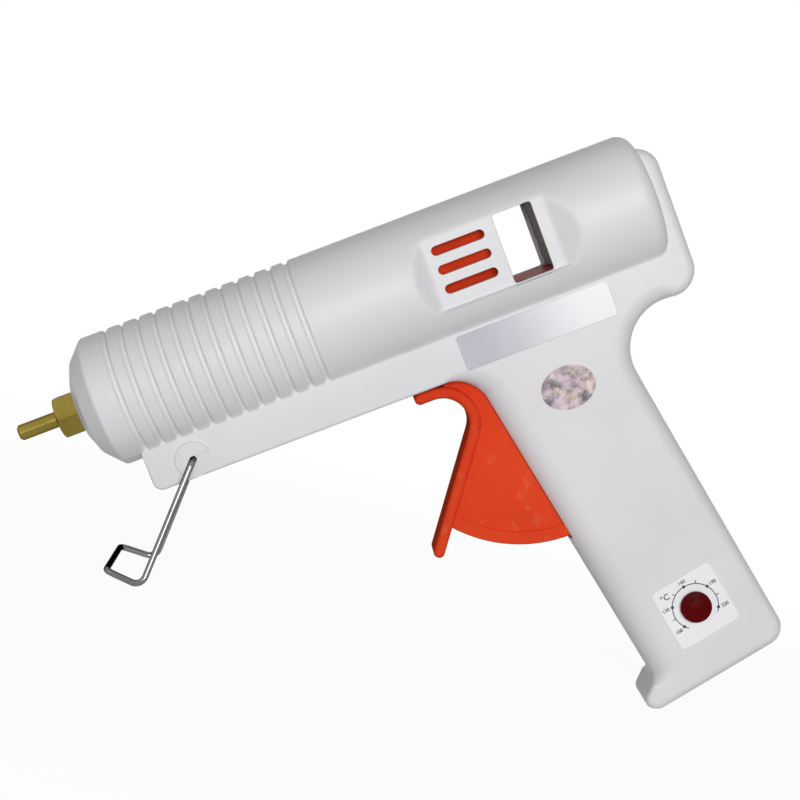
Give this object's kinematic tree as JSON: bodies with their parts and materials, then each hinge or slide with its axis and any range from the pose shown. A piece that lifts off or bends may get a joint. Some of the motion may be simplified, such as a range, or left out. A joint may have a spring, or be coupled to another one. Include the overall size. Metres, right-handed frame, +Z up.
{
  "type": "hot glue applicator",
  "caption": "Pistol-grip hot glue applicator: ribbed barrel, brass nozzle, rocking trigger feed, temperature dial and a folding wire stand.",
  "frame": {"origin": "bottom centre of the bounding box, with the tool standing on its wire stand and the grip's toe", "axes": "+X from the nozzle towards the heel, +Y to the tool's right side (the printed side faces -Y), +Z up; the barrel points down 35.7 degrees"},
  "size_m": [0.238, 0.0418, 0.1631],
  "materials": {
    "housing_white": "fine moulded texture",
    "screw_steel": "zinc plated",
    "name_foil": "satin foil, bare",
    "dial_white": "printed plate",
    "seal_foil": "iridescent foil, bare",
    "nozzle_brass": "turned",
    "spring_steel": "bright",
    "cast_aluminium": "machined casting",
    "heater_ceramic": "ceramic in foil",
    "insulator": "heat-resistant moulding",
    "silicone_red": "silicone",
    "feed_orange": "moulded",
    "jaw_steel": "stamped",
    "trigger_orange": "satin moulding",
    "guide_black": "moulded",
    "board_green": "laminate",
    "component_blue": "moulded cases",
    "knob_red": "dark translucent red",
    "lead_sleeving": "glass-fibre sleeving",
    "stand_chrome": "plated wire"
  },
  "bodies": {
    "housing": {"left_shell": "housing_white", "right_shell": "housing_white", "housing_screws": "screw_steel", "name_plate": "name_foil", "dial_plate": "dial_white", "oval_seal": "seal_foil", "nozzle": "nozzle_brass", "valve_spring": "spring_steel", "melt_chamber": "cast_aluminium", "heater_plates": "heater_ceramic", "heater_clamps": "spring_steel", "thermistor": "heater_ceramic", "front_insulator": "insulator", "rear_insulator": "insulator", "inlet_sleeve": "silicone_red", "sleeve_clip": "spring_steel", "trigger_pin": "spring_steel", "return_spring": "spring_steel", "stick_guide": "guide_black", "control_board": "board_green", "potentiometer": "component_blue", "board_parts": "component_blue", "cord_bush": "guide_black", "cord_clamp": "insulator", "clamp_screws": "screw_steel", "heater_leads": "lead_sleeving"},
    "valve": {"valve_ball": "spring_steel"},
    "carriage": {"feed_carriage": "feed_orange", "drive_pin": "spring_steel", "jaw_pin": "spring_steel"},
    "jaw": {"clamp_jaw": "jaw_steel"},
    "trigger": {"trigger": "trigger_orange"},
    "dial": {"dial_knob": "knob_red", "dial_shaft": "spring_steel"},
    "stand": {"stand_wire": "stand_chrome"}
  },
  "joints": [
    {"name": "trigger_pull", "type": "hinge", "parent": "housing", "child": "trigger", "pos_m": [0.02451, 0, 0.07929], "axis": [0, -1, 0], "range_deg": [0, 24], "stiffness_Nm_per_rad": 0.8, "springref_deg": -8.59},
    {"name": "carriage_slide", "type": "slide", "parent": "housing", "child": "carriage", "axis": [-0.8121, 0, -0.5836], "range_m": [0, 0.01277], "deforming": ["return_spring"]},
    {"name": "jaw_bite", "type": "hinge", "parent": "carriage", "child": "jaw", "pos_m": [-0.0046, 0, 0.12425], "axis": [0, -1, 0], "range_deg": [0, 8.1]},
    {"name": "stand_swing", "type": "hinge", "parent": "housing", "child": "stand", "pos_m": [-0.06555, 0, 0.03908], "axis": [0, -1, 0], "range_deg": [0, 133]},
    {"name": "dial_turn", "type": "hinge", "parent": "housing", "child": "dial", "pos_m": [0.091, -0.0105, 0.03422], "axis": [0, -1, 0], "range_deg": [-120, 120]},
    {"name": "valve_slide", "type": "slide", "parent": "housing", "child": "valve", "axis": [-0.8121, 0, -0.5836], "range_m": [0, 0.001], "stiffness_N_per_m": 200, "springref_m": -0.001, "deforming": ["valve_spring"]}
  ],
  "couplings": [
    {"joint": "carriage_slide", "follows": "trigger_pull", "m_per_rad": 0.030447},
    {"joint": "jaw_bite", "follows": "trigger_pull", "ratio": 0.33333}
  ]
}
